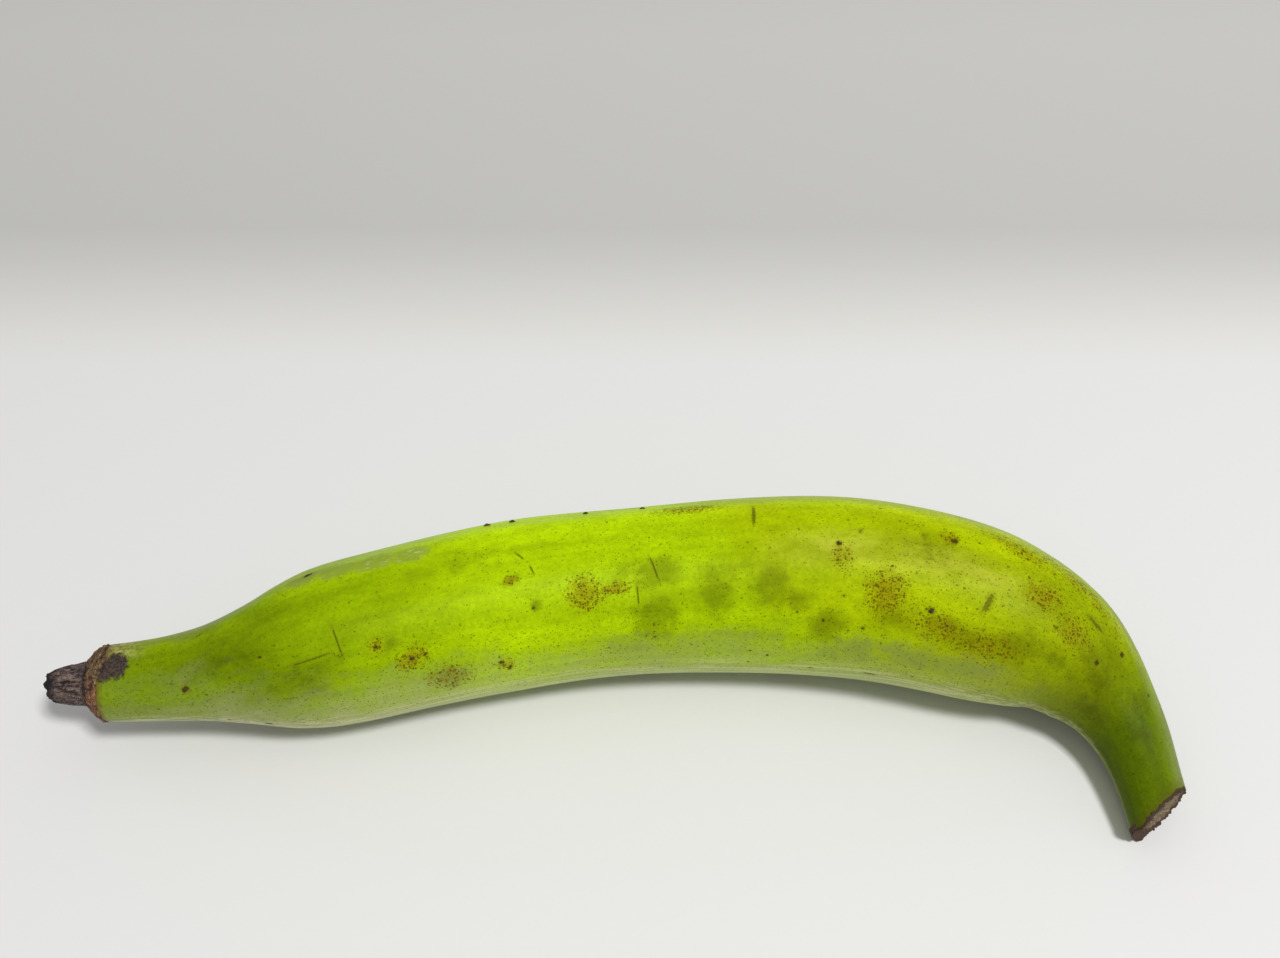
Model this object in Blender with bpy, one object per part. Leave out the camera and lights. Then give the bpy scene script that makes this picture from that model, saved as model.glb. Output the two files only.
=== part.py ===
"""A green horn plantain, picked and lying on its side on a flat surface.

The fruit grew as one piece, so it is one solid: the dried flower stub at the left end, the ridged
body, the bent neck and the cut stalk. A ring of points is swept along the centre line, with its own
girth, ridges and furrows at each place, the stalk is cut off slantwise, and the underside is
flattened a little where the fruit rests.

X runs along the fruit towards the stalk, Y points away from the hollow side, and Z is up. The
origin is on the surface that the fruit lies on, under the middle of its box.
"""

import math

import bmesh
import bpy
from mathutils import Vector

MM = 0.001
NAME = "plantain"

# The centre line from the flower stub to the stalk, x, y and height, in mm.
CENTRE_LINE = (
    (-142.7, -9.7, 19.4),
    (-111.0, -7.3, 19.5),
    (-88.0, -2.6, 20.0),
    (-66.0, 3.9, 20.8),
    (-24.5, 14.7, 22.6),
    (8.5, 19.5, 22.5),
    (41.5, 21.0, 23.1),
    (64.5, 19.0, 24.1),
    (85.0, 14.4, 24.1),
    (102.0, 8.5, 22.9),
    (116.0, 1.9, 20.0),
    (125.1, -6.2, 16.1),
    (130.5, -14.4, 12.7),
    (133.5, -23.7, 10.0),
    (135.8, -43.2, 6.3),
)

# The mean radius at distances along the centre line, in mm.
STUB_GIRTH = ((0.0, 2.4), (1.0, 3.4), (2.5, 4.0), (4.0, 4.4), (7.5, 4.9), (10.5, 5.5))
COLLAR_GIRTH = ((11.4, 6.8), (13.5, 8.6), (15.5, 9.6), (18.0, 9.9))
BODY_GIRTH = (
    (22.0, 10.1),
    (31.0, 10.8),
    (41.0, 12.3),
    (51.0, 15.1),
    (61.0, 18.4),
    (71.0, 20.5),
    (86.0, 21.4),
    (118.0, 22.2),
    (151.0, 22.1),
    (176.0, 22.9),
    (203.0, 23.9),
    (228.0, 23.5),
    (245.0, 22.6),
    (256.0, 20.7),
    (266.0, 18.0),
    (276.0, 14.6),
    (286.0, 11.1),
    (296.0, 9.1),
    (306.0, 8.0),
    (320.0, 7.6),
)
GIRTH = STUB_GIRTH + COLLAR_GIRTH + BODY_GIRTH

# The ridges of the body: angle from the front (90 is up), height in mm and half width in degrees.
RIDGES = (
    (104.0, 1.0, 15.0),
    (64.0, 0.5, 14.0),
    (358.0, 0.8, 18.0),
    (291.0, 0.6, 18.0),
    (205.0, 1.0, 18.0),
    (155.0, 0.4, 16.0),
)
# How strongly the ridges stand out at distances along the centre line.
RIDGE_STRENGTH = (
    (0.0, 0.0),
    (16.0, 0.25),
    (40.0, 0.6),
    (70.0, 1.0),
    (240.0, 1.0),
    (290.0, 0.35),
    (320.0, 0.2),
)

# The dried stub and collar are puckered: folds round the stub, depth as a share of its radius.
STUB_END = 10.5
COLLAR_END = 18.0
STUB_FOLDS = ((5, 0.075, 20.0), (9, 0.035, 70.0))

# The stalk is cut slantwise through this point, with the inner side left longer.
CUT_POINT = (136.6, -38.8, 7.5)
CUT_NORMAL = (0.62, -0.785, -0.02)
CUT_RIM = 1.3
CUT_DEPTH = 0.7

SIDES = 36
RING_STEP = 5.6
END_RINGS = (0.0, 1.0, 2.5, 4.0, 6.2, 8.4, 10.5, 11.0, 12.0, 13.3, 14.8, 16.4, 19.0)
PEEL_GREEN = (0.36, 0.52, 0.01, 1.0)


def hermite(knots, at):
    """Reads a smooth curve through (distance, value) knots; beyond the ends it stays level."""
    if at <= knots[0][0]:
        return knots[0][1]
    if at >= knots[-1][0]:
        return knots[-1][1]
    i = max(k for k in range(len(knots) - 1) if knots[k][0] <= at)

    def slope(k):
        before, after = knots[max(k - 1, 0)], knots[min(k + 1, len(knots) - 1)]
        return (after[1] - before[1]) / (after[0] - before[0])

    (d0, v0), (d1, v1) = knots[i], knots[i + 1]
    span = d1 - d0
    t = (at - d0) / span
    rise = t * t * (3 - 2 * t)
    return (
        v0 + (v1 - v0) * rise
        + slope(i) * span * t * (1 - t) ** 2
        - slope(i + 1) * span * t * t * (1 - t)
    )


def knots_along(points):
    """Turns the centre line's points into one list of (distance, value) knots for each axis."""
    distances = [0.0]
    for a, b in zip(points, points[1:]):
        distances.append(distances[-1] + (Vector(b) - Vector(a)).length)
    return [list(zip(distances, values)) for values in zip(*points)]


AXES = knots_along(CENTRE_LINE)
LENGTH = AXES[0][-1][0]


def centre(at):
    """The centre line's point at a distance along it, in mm."""
    return Vector([hermite(knots, at) for knots in AXES])


def frame(at):
    """The centre, and the front and up directions square to the centre line there."""
    reach = 1.0
    along = (centre(min(at + reach, LENGTH)) - centre(max(at - reach, 0.0))).normalized()
    up = (Vector((0, 0, 1)) - along * along.z).normalized()
    return centre(at), along.cross(up), up


def radius(at, angle):
    """The radius at a distance along the fruit and an angle round it, with ridges and folds."""
    size = hermite(GIRTH, at)
    for ridge, height, half_width in RIDGES:
        off = (math.degrees(angle) - ridge + 180) % 360 - 180
        size += height * hermite(RIDGE_STRENGTH, at) * math.exp(-((off / half_width) ** 2))
    pucker = min(max((COLLAR_END - at) / (COLLAR_END - STUB_END), 0.0), 1.0)
    for count, depth, start in STUB_FOLDS:
        size *= 1 + depth * pucker * math.cos(count * (angle + math.radians(start)))
    return size


def ring_distances():
    """Where the rings stand: close together on the stub and collar, then at an even step."""
    rest = LENGTH - END_RINGS[-1]
    count = math.ceil(rest / RING_STEP)
    return list(END_RINGS) + [END_RINGS[-1] + rest * (k + 1) / count for k in range(count)]


def place(ring, at):
    """Moves a ring's corners to the surface at a distance along the fruit."""
    middle, front, up = frame(at)
    for k, corner in enumerate(ring):
        angle = math.tau * k / SIDES
        out = front * math.cos(angle) + up * math.sin(angle)
        corner.co = middle + out * radius(at, angle)


def sweep(shape):
    """Sweeps a ring of corners along the centre line, one extrusion for each ring."""
    start = bmesh.ops.create_circle(shape, cap_ends=False, segments=SIDES, radius=1.0)
    ring = start["verts"]
    edges = list(shape.edges)
    distances = ring_distances()
    place(ring, distances[0])
    for at in distances[1:]:
        made = bmesh.ops.extrude_edge_only(shape, edges=edges)["geom"]
        edges = [part for part in made if isinstance(part, bmesh.types.BMEdge)]
        new = {part for part in made if isinstance(part, bmesh.types.BMVert)}
        partner = {v: e.other_vert(v) for v in ring for e in v.link_edges if e.other_vert(v) in new}
        ring = [partner[v] for v in ring]
        place(ring, at)
    bmesh.ops.holes_fill(shape, edges=[edge for edge in shape.edges if edge.is_boundary])


def cut_flat(shape, point, outward):
    """Cuts away what lies beyond a plane, and closes the cut with flat faces."""
    everything = shape.verts[:] + shape.edges[:] + shape.faces[:]
    bmesh.ops.bisect_plane(
        shape, geom=everything, dist=1e-4, plane_co=point, plane_no=outward, clear_outer=True
    )
    open_edges = [edge for edge in shape.edges if edge.is_boundary]
    return bmesh.ops.holes_fill(shape, edges=open_edges)["faces"]


def dish_cut_face(shape, faces):
    """Leaves a rim of peel round the stalk's cut and sinks the fibres inside it a little."""
    bmesh.ops.inset_region(shape, faces=faces, thickness=CUT_RIM, use_even_offset=True)
    inward = -Vector(CUT_NORMAL).normalized() * CUT_DEPTH
    corners = {corner for face in faces for corner in face.verts}
    bmesh.ops.translate(shape, verts=list(corners), vec=inward)


def peel_material():
    """Waxy green peel, as a plain colour."""
    material = bpy.data.materials.new("green_peel")
    material.use_nodes = True
    shader = material.node_tree.nodes["Principled BSDF"]
    shader.inputs["Base Color"].default_value = PEEL_GREEN
    shader.inputs["Roughness"].default_value = 0.45
    shader.inputs["Metallic"].default_value = 0.0
    return material


def build_plantain(collection):
    """Makes the fruit as one closed mesh, in metres."""
    shape = bmesh.new()
    sweep(shape)
    dish_cut_face(shape, cut_flat(shape, Vector(CUT_POINT), Vector(CUT_NORMAL)))
    cut_flat(shape, Vector((0, 0, 0)), Vector((0, 0, -1)))
    bmesh.ops.scale(shape, vec=(MM, MM, MM), verts=shape.verts[:])
    bmesh.ops.recalc_face_normals(shape, faces=shape.faces[:])
    mesh = bpy.data.meshes.new(NAME)
    shape.to_mesh(mesh)
    shape.free()
    mesh.shade_smooth()
    mesh.set_sharp_from_angle(angle=math.radians(40))
    mesh.materials.append(peel_material())
    fruit = bpy.data.objects.new(NAME, mesh)
    collection.objects.link(fruit)
    return fruit


def main():
    for leftover in list(bpy.data.objects):
        bpy.data.objects.remove(leftover)
    collection = bpy.data.collections.new("horn_plantain")
    bpy.context.scene.collection.children.link(collection)
    build_plantain(collection)


main()
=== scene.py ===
"""The looks of a green horn plantain: peel, dried flower tip, cut stalk and scabs, on a pale stage.

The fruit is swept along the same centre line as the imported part, with many more corners, so that
ridges, dents and the torn edges are real shape. Every corner also keeps the place it would have if
the fruit were straight, and all marks and streaks of the peel are laid out on that straight fruit:
how far along it in millimetres, and how many degrees round it, with 0 in front and 90 on top.
"""

import math
import random

import bmesh
import bpy
import numpy as np
from bpy.props import FloatProperty, FloatVectorProperty, PointerProperty
from mathutils import Matrix, Vector, noise


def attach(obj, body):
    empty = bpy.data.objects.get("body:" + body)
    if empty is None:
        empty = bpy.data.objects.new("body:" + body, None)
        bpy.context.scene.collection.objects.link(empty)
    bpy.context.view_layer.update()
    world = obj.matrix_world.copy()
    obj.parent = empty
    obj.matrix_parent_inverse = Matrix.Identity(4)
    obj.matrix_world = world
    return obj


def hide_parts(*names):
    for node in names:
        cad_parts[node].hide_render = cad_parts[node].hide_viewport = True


bl_info = {
    "name": "Green horn plantain",
    "version": (1, 0, 0),
    "blender": (4, 5, 0),
    "location": "3D View > Sidebar > Plantain",
    "description": "Builds a green horn plantain with waxy, spotted peel, on a pale stage",
    "category": "Object",
}

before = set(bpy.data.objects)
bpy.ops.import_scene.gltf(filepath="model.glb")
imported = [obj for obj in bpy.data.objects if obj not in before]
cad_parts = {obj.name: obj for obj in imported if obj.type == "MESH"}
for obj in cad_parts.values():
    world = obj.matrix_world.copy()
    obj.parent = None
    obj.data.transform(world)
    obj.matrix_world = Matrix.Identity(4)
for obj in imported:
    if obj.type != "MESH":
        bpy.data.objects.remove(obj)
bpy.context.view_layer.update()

MM = 0.001
NODE = "plantain"
UV_NAME = "OFBake"
STRAIGHT = "straight"
STAINS = "stains"
WEAR = "wear"
ENDS = "ends"
DOTS = "dots"
SCRATCH = "scratch"
# How far past its edge a small mark still counts, in mm.
SMALL_MARK_MARGIN = 1.3

# The centre line from the flower tip to the stalk, x, y and height, in mm, as in the part.
CENTRE_LINE = (
    (-142.7, -9.7, 19.4),
    (-111.0, -7.3, 19.5),
    (-88.0, -2.6, 20.0),
    (-66.0, 3.9, 20.8),
    (-24.5, 14.7, 22.6),
    (8.5, 19.5, 22.5),
    (41.5, 21.0, 23.1),
    (64.5, 19.0, 24.1),
    (85.0, 14.4, 24.1),
    (102.0, 8.5, 22.9),
    (116.0, 1.9, 20.0),
    (125.1, -6.2, 16.1),
    (130.5, -14.4, 12.7),
    (133.5, -23.7, 10.0),
    (135.8, -43.2, 6.3),
)

# The mean radius at distances along the centre line, in mm.
TIP_GIRTH = (
    (0.0, 2.4),
    (1.0, 3.4),
    (2.5, 4.0),
    (4.0, 4.4),
    (7.5, 4.9),
    (10.5, 5.5),
    (11.4, 6.8),
    (13.5, 8.6),
    (15.5, 9.6),
    (18.0, 9.9),
)
BODY_GIRTH = (
    (22.0, 10.1),
    (31.0, 10.8),
    (41.0, 12.3),
    (51.0, 15.1),
    (61.0, 18.4),
    (71.0, 20.5),
    (86.0, 21.4),
    (118.0, 22.2),
    (151.0, 22.1),
    (176.0, 22.9),
    (203.0, 23.9),
    (228.0, 23.5),
    (245.0, 22.6),
    (256.0, 20.7),
    (266.0, 18.0),
    (276.0, 14.6),
    (286.0, 11.1),
    (296.0, 9.1),
    (306.0, 8.0),
    (320.0, 7.6),
)
GIRTH = TIP_GIRTH + BODY_GIRTH

# The ridges: degrees round the fruit, height in mm, half width in degrees.
RIDGES = (
    (104.0, 1.0, 15.0),
    (64.0, 0.5, 14.0),
    (358.0, 0.8, 18.0),
    (291.0, 0.6, 18.0),
    (205.0, 1.0, 18.0),
    (155.0, 0.4, 16.0),
)
RIDGE_STRENGTH = (
    (0.0, 0.0),
    (16.0, 0.25),
    (40.0, 0.6),
    (70.0, 1.0),
    (240.0, 1.0),
    (290.0, 0.35),
    (320.0, 0.2),
)

# The slanting cut through the stalk.
CUT_POINT = (136.6, -38.8, 7.5)
CUT_NORMAL = (0.62, -0.785, -0.02)
# The cut is looked for over this length of the stalk's end, in mm, by halving it so many times.
CUT_SEARCH = 40.0
CUT_HALVINGS = 30

# Marks on the peel: mm along, degrees round, half length, half width in mm, turn in degrees,
# and strength from 0 to 1.
BRUISES = (
    (156, 32, 6.8, 6.4, 0, 1.0),
    (157, 61, 7.0, 4.4, 0, 0.85),
    (148, 62, 3.0, 2.6, 0, 0.5),
    (173, 47, 5.8, 7.6, 0, 1.0),
    (188, 47, 6.8, 6.4, 0, 1.0),
    (196, 38, 4.0, 4.4, 0, 0.5),
    (204, 25, 6.0, 5.0, 10, 0.95),
    (181, 62, 5.0, 3.2, 0, 0.25),
    (240, 32, 12.0, 4.0, -6, 0.75),
    (222, 33, 6.0, 4.0, 0, 0.55),
    (254, 38, 9.0, 5.0, 20, 0.7),
    (264, 44, 6.0, 3.4, 0, 0.4),
    (228, 82, 7.0, 4.0, -10, 0.3),
    (125, 47, 1.9, 1.9, 0, 0.95),
    (120, 66, 2.6, 1.4, 14, 0.8),
    (88, 43, 2.6, 2.0, 0, 0.6),
    (100, 12, 5.0, 3.4, 0, 0.5),
    (278, 56, 7.0, 5.0, 0, 0.45),
    (284, 30, 8.0, 3.6, 0, 0.5),
    (289, 92, 6.0, 3.0, 0, 0.3),
    (297, 70, 6.0, 4.0, 0, 0.25),
    (48, 60, 9.0, 3.4, 0, 0.35),
    (66, 30, 9.0, 4.0, 10, 0.3),
    (110, 85, 9.0, 4.0, 0, 0.25),
)
GREY_BRUISES = (
    (213, 11, 7.0, 4.0, -6, 1.0),
    (206, 6, 6.0, 3.0, 0, 0.6),
    (100, 9, 4.6, 2.8, 0, 0.9),
    (71, 112, 5.0, 3.0, 0, 0.7),
    (229, 11, 12.0, 3.4, -4, 0.8),
    (245, 14, 9.0, 3.0, 8, 0.7),
    (150, 12, 12.0, 3.0, 0, 0.5),
)
RUST_PATCHES = (
    (138, 51, 5.0, 4.9, 0, 1.0),
    (146, 52, 5.0, 1.9, 4, 0.95),
    (219, 49, 5.8, 6.4, 0, 1.0),
    (167, 110, 8.0, 2.6, 0, 0.6),
    (255, 77, 4.6, 4.2, 20, 0.75),
    (247, 103, 7.0, 2.6, -12, 0.6),
    (92, 30, 4.4, 3.2, 20, 0.95),
    (84, 43, 2.2, 2.0, 0, 0.6),
    (265, 66, 5.0, 4.0, 0, 0.45),
    (207, 68, 2.6, 3.2, 0, 0.65),
    (232, 92, 2.4, 2.0, 0, 0.8),
    (234, 34, 9.0, 3.2, -6, 0.5),
    (247, 30, 8.0, 3.6, 6, 0.45),
    (120, 66, 2.4, 1.4, 14, 0.8),
    (115, 11, 2.6, 1.6, 0, 0.7),
    (100, 11, 5.0, 3.0, 0, 0.4),
    (262, 108, 9.0, 3.0, -8, 0.3),
)
DARK_DOTS = (
    (231, 43, 0.9, 0.7, 70, 1.0),
    (226, 90, 1.0, 0.9, 0, 0.6),
    (233, 91, 1.0, 0.7, 20, 1.0),
    (274, 66, 0.7, 0.7, 0, 1.0),
    (277, 94, 0.7, 0.7, 0, 1.0),
    (206, 76, 0.8, 0.6, 0, 1.0),
    (206, 65, 0.8, 0.5, 30, 0.7),
    (211, 86, 1.0, 0.7, 80, 0.7),
    (208, 44, 0.8, 0.6, 0, 0.7),
    (214, 25, 0.7, 0.5, 0, 0.9),
    (203, 28, 0.6, 0.6, 0, 0.9),
    (156, 18, 0.8, 0.5, 0, 0.7),
    (156, 27, 0.5, 0.5, 0, 0.8),
    (114, 13, 0.8, 0.6, 0, 0.9),
    (116, 8, 0.9, 0.6, 40, 0.9),
    (92, 30, 0.8, 0.6, 0, 1.0),
    (95.5, 31, 0.8, 0.4, 10, 0.9),
    (84, 43, 0.6, 0.5, 0, 0.9),
    (124.5, 46, 0.7, 0.6, 0, 0.8),
    (71, 114, 1.3, 0.7, 20, 1.0),
    (37, 36, 1.0, 0.8, 30, 1.0),
    (41, 100, 1.2, 0.4, 25, 0.7),
    (56, 56, 0.6, 0.4, 0, 0.9),
    (54, 344, 1.0, 0.5, 0, 1.0),
    (62, 342, 1.2, 0.4, 0, 0.8),
    (45, 347, 0.7, 0.5, 0, 0.8),
    (236, 36, 0.7, 0.6, 0, 0.8),
    (245, 40, 0.6, 0.5, 0, 0.7),
    (200, 350, 1.0, 0.4, 0, 0.8),
    (218, 349, 2.2, 0.5, -6, 0.8),
)
SCRATCHES = (
    (184, 98, 3.2, 0.40, 88, 1.0),
    (157, 63, 3.2, 0.24, 107, 0.95),
    (152, 47, 2.6, 0.24, 92, 0.9),
    (123, 82, 1.5, 0.24, 128, 0.9),
    (125.5, 70, 1.3, 0.24, 108, 0.9),
    (75, 52, 4.2, 0.26, 97, 0.9),
    (68, 45, 7.0, 0.36, 5, 0.75),
    (73, 50, 1.8, 0.26, 12, 0.75),
    (244, 57, 2.3, 0.70, 82, 1.0),
    (268, 88, 2.2, 0.55, 4, 0.9),
    (228, 74, 1.6, 0.30, 10, 0.6),
)
SCUFFS = (
    (69, 110, 6.0, 3.8, 0, 0.8),
    (78, 107, 8.0, 4.0, 0, 0.9),
    (88, 105, 8.0, 4.0, 0, 1.0),
    (97, 103, 6.5, 3.6, 0, 1.0),
)
# The dry scab on the peel just behind the ring of the flower tip.
TIP_SCAB = (
    (20.3, 77, 3.5, 4.0, 0, 1.0),
    (18.0, 72, 2.9, 3.7, 0, 1.0),
)
# Where the peel is paler and duller, as marks; the first is a painted sheen on the stalk's outer
# side and the last a painted reflection along its inner edge.
PALE_PLACES_AND_PAINTED_LIGHT = (
    (292, 126, 26.0, 6.0, 0, 0.3),
    (35, 112, 20.0, 4.0, 0, 0.6),
    (298, 348, 24.0, 2.0, 0, 0.6),
)
# Dents and swellings in the surface: as the marks, with the depth in mm last, below 0 if sunk.
RELIEF = (
    (268, 88, 2.8, 0.9, -52, -0.30),
    (244, 57, 2.2, 1.1, 60, -0.25),
    (184, 98, 2.2, 0.8, 86, -0.12),
    (93, 103, 12.0, 3.0, 0, -0.10),
    (118, 245, 9.0, 4.0, 15, -0.35),
    (210, 180, 8.0, 5.0, 0, -0.30),
)
# Marks made up for the sides that face away: where they lie along and round the fruit, and for
# each kind how many, the largest half length and the largest half width.
FAR_ALONG = (35.0, 285.0)
FAR_ROUND = (140.0, 325.0)
FAR_STAINS = (9, 7.0, 5.0)
FAR_RUST = (11, 6.0, 4.0)
FAR_DOTS = (34, 1.1, 0.7)
FAR_SCRATCHES = (9, 3.6, 0.28)
# Raised scabs: mm along, degrees round, length, width and height in mm.
SCABS = (
    (117, 124, 1.7, 1.0, 0.55),
    (123, 122, 1.5, 0.9, 0.50),
    (141, 123, 1.3, 0.8, 0.40),
    (156, 123, 1.4, 0.8, 0.40),
    (71, 114, 1.2, 0.7, 0.25),
    (206, 76, 0.7, 0.6, 0.20),
    (92, 30, 0.7, 0.6, 0.20),
    (231, 43, 0.8, 0.7, 0.20),
    (37, 36, 0.8, 0.6, 0.25),
)


def from_screen(red, green, blue):
    """A colour as a screen shows it, 0 to 255, as the linear one that shaders use."""
    def linear(value):
        share = value / 255
        return share / 12.92 if share <= 0.04045 else ((share + 0.055) / 1.055) ** 2.4

    return linear(red), linear(green), linear(blue)


# The form of the fruit.

def curve_at(knots, at):
    """Reads a smooth curve through (distance, value) knots at distances, level past its ends."""
    place = np.array([knot[0] for knot in knots])
    value = np.array([knot[1] for knot in knots])
    rise = np.diff(value) / np.diff(place)
    slope = np.empty_like(value)
    slope[0], slope[-1] = rise[0], rise[-1]
    slope[1:-1] = (value[2:] - value[:-2]) / (place[2:] - place[:-2])
    at = np.clip(at, place[0], place[-1])
    i = np.clip(np.searchsorted(place, at, side="right") - 1, 0, len(place) - 2)
    span = place[i + 1] - place[i]
    t = (at - place[i]) / span
    ease = t * t * (3 - 2 * t)
    return (
        value[i] + (value[i + 1] - value[i]) * ease
        + slope[i] * span * t * (1 - t) ** 2
        - slope[i + 1] * span * t * t * (1 - t)
    )


def knots_along(points):
    """Turns the centre line's points into (distance, value) knots, one list for each axis."""
    points = np.array(points)
    steps = np.linalg.norm(np.diff(points, axis=0), axis=1)
    distances = np.concatenate([[0.0], np.cumsum(steps)])
    return [list(zip(distances, points[:, axis])) for axis in range(3)]


AXES = knots_along(CENTRE_LINE)
LENGTH = AXES[0][-1][0]


def centre(at):
    """Points of the centre line at distances along it, in mm."""
    return np.stack([curve_at(knots, at) for knots in AXES], axis=-1)


def unit(vectors):
    return vectors / np.linalg.norm(vectors, axis=-1, keepdims=True)


def directions(at):
    """The front and up directions square to the centre line, at distances along it."""
    along = unit(centre(np.minimum(at + 1.0, LENGTH)) - centre(np.maximum(at - 1.0, 0.0)))
    up = unit(np.array([0.0, 0.0, 1.0]) - along * along[..., 2:3])
    return np.cross(along, up), up


def degrees_between(angle, degrees):
    """How many degrees an angle in radians is past another in degrees, from -180 to 180."""
    return (np.degrees(angle) - degrees + 180) % 360 - 180


def bell(value, middle, half_width):
    """1 at the middle, and about a third at the half width to each side of it."""
    return np.exp(-(((value - middle) / half_width) ** 2))


def circle(angle):
    """Points on a circle of radius 1, for noise that changes round the fruit alone."""
    return np.stack([np.cos(angle), np.sin(angle), np.zeros_like(angle)], axis=-1)


def strands(at, angle, along, around):
    """Points for noise in strands along the fruit: how fast it changes along and round it."""
    return np.stack([at * along, np.cos(angle) * around, np.sin(angle) * around], axis=-1)


def plain_radius(at, angle):
    """The radius of the fruit with its ridges, in mm."""
    size = curve_at(GIRTH, at)
    strength = curve_at(RIDGE_STRENGTH, at)
    for degrees, height, half_width in RIDGES:
        on_ridge = bell(degrees_between(angle, degrees), 0.0, half_width)
        size = size + height * strength * on_ridge
    return size


def on_fruit(at, angle, radius):
    """Points at distances along the fruit, angles round it and distances from its centre line."""
    front, up = directions(at)
    out = front * np.cos(angle)[..., None] + up * np.sin(angle)[..., None]
    return centre(at) + out * radius[..., None]


def straightened(at, angle, radius):
    """The same points on the fruit as it would be if it were straight, lying along X."""
    return np.stack([at, radius * np.cos(angle), radius * np.sin(angle)], axis=-1)


def lumps(points, size, seed):
    """Smooth noise from -1 to 1 at many points, with lumps of a size in mm."""
    shift = Vector((seed * 17.3, seed * 5.1, seed * 9.7))
    return np.array([noise.noise(Vector(point) / size + shift) for point in points])


def mark_place(at, angle, mark):
    """Where points lie from a mark's middle, lengthwise and sideways, where 1 is its edge."""
    along, degrees, half_length, half_width, turn = mark[:5]
    turn = math.radians(turn)
    size = float(curve_at(GIRTH, np.array(float(along))))
    across = np.radians(degrees_between(angle, degrees)) * size
    step = at - along
    lengthwise = step * math.cos(turn) + across * math.sin(turn)
    sideways = across * math.cos(turn) - step * math.sin(turn)
    return lengthwise / half_length, sideways / half_width


def mark_distance(at, angle, mark):
    """How far points lie from a mark, where 1 is its edge."""
    return np.hypot(*mark_place(at, angle, mark))


def far_side_marks(kind, seed):
    """Marks scattered over the sides that face away."""
    count, half_length, half_width = kind
    dice = random.Random(seed)
    marks = []
    for _ in range(count):
        size = dice.uniform(0.45, 1.0)
        marks.append((
            dice.uniform(*FAR_ALONG),
            dice.uniform(*FAR_ROUND),
            half_length * size,
            half_width * size,
            dice.uniform(-90.0, 90.0),
            dice.uniform(0.6, 1.0),
        ))
    return tuple(marks)


def mark_strength(at, angle, marks):
    """How much of any mark is at each point: all its strength in its middle, 0 at its edge."""
    total = np.full_like(at, -1.0)
    for mark in marks:
        total = np.maximum(total, mark[5] * (1 - mark_distance(at, angle, mark)))
    return total


def small_mark_places(at, angle, marks):
    """Each point's place inside the nearest small mark, and the mark's strength.

    The place is 1 from the middle at the mark's edge, and it grows faster lengthwise, which makes
    the ends blunt. Far from every mark the strength is 0, so that it fades out before the places
    change over from one mark to the next.
    """
    nearest = np.full_like(at, np.inf)
    result = np.zeros((len(at), 3))
    for mark in marks:
        lengthwise, sideways = mark_place(at, angle, mark)
        reach = np.hypot(lengthwise * mark[2], sideways * mark[3]) - max(mark[2], mark[3])
        closer = reach < nearest
        nearest = np.where(closer, reach, nearest)
        strength = np.where(reach < SMALL_MARK_MARGIN, mark[5], 0.0)
        place = [lengthwise * np.abs(lengthwise), sideways, strength]
        result[closer] = np.stack(place, axis=-1)[closer]
    return result


def cut_distance(angle):
    """How far along the centre line the slanting cut crosses the peel at each angle, in mm."""
    point, normal = np.array(CUT_POINT), unit(np.array(CUT_NORMAL))
    low = np.full_like(angle, LENGTH - CUT_SEARCH)
    high = np.full_like(angle, LENGTH)
    for _ in range(CUT_HALVINGS):
        middle = (low + high) / 2
        places = on_fruit(middle, angle, plain_radius(middle, angle))
        beyond = (places - point) @ normal > 0
        high = np.where(beyond, middle, high)
        low = np.where(beyond, low, middle)
    return low


# Meshes.

# How near to an edge of the grid a corner counts as on it, as a share of the grid.
EDGE_SHARE = 1e-4
# How near to each other two corners at the seam are to be one, in metres.
WELD_DISTANCE = 1e-6


def rolled_sheet(rows, columns, place, depth):
    """Rolls a flat grid into a tube and returns it as a bmesh.

    place gets each corner's share along and share round, from 0 to 1, and the depth of the relief
    in mm. It gives back the corners' positions in mm and a dictionary with further vectors for each
    corner. The seam is closed. The grid's own flat layout stays as the UV map.
    """
    shape = bmesh.new()
    shape.loops.layers.uv.new(UV_NAME)
    bmesh.ops.create_grid(shape, x_segments=rows, y_segments=columns, size=0.5, calc_uvs=True)
    shares = np.array([corner.co[:2] for corner in shape.verts]) + 0.5
    positions, vectors = place(shares[:, 0], shares[:, 1], depth / MM)
    positions[:, 2] = np.maximum(positions[:, 2], 0.0)
    for key, values in vectors.items():
        layer = shape.verts.layers.float_vector.new(key)
        for corner, value in zip(shape.verts, values.tolist()):
            corner[layer] = value
    for corner, position in zip(shape.verts, (positions * MM).tolist()):
        corner.co = position
    on_seam = (shares[:, 1] < EDGE_SHARE) | (shares[:, 1] > 1 - EDGE_SHARE)
    at_ends = (shares[:, 0] < EDGE_SHARE) | (shares[:, 0] > 1 - EDGE_SHARE)
    doubled = [corner for corner, either in zip(shape.verts, on_seam | at_ends) if either]
    bmesh.ops.remove_doubles(shape, verts=doubled, dist=WELD_DISTANCE)
    return shape


def mesh_of(shape, name):
    """Turns a bmesh into a mesh."""
    mesh = bpy.data.meshes.new(name)
    shape.to_mesh(mesh)
    shape.free()
    return mesh


def add_object(name, data):
    """Puts an object into the scene."""
    made = bpy.data.objects.new(name, data)
    bpy.context.scene.collection.objects.link(made)
    return made


def finish_piece(shape, name, material, smooth_angle=60.0):
    """Makes an object of a bmesh, gives it its material and ties it to the frame."""
    open_edges = [edge for edge in shape.edges if edge.is_boundary]
    if open_edges:
        bmesh.ops.holes_fill(shape, edges=open_edges)
    bmesh.ops.recalc_face_normals(shape, faces=shape.faces[:])
    mesh = mesh_of(shape, name)
    mesh.shade_smooth()
    mesh.set_sharp_from_angle(angle=math.radians(smooth_angle))
    mesh.materials.append(material)
    piece = add_object(name, mesh)
    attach(piece, "root")
    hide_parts(NODE)


# Shader networks.

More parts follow.
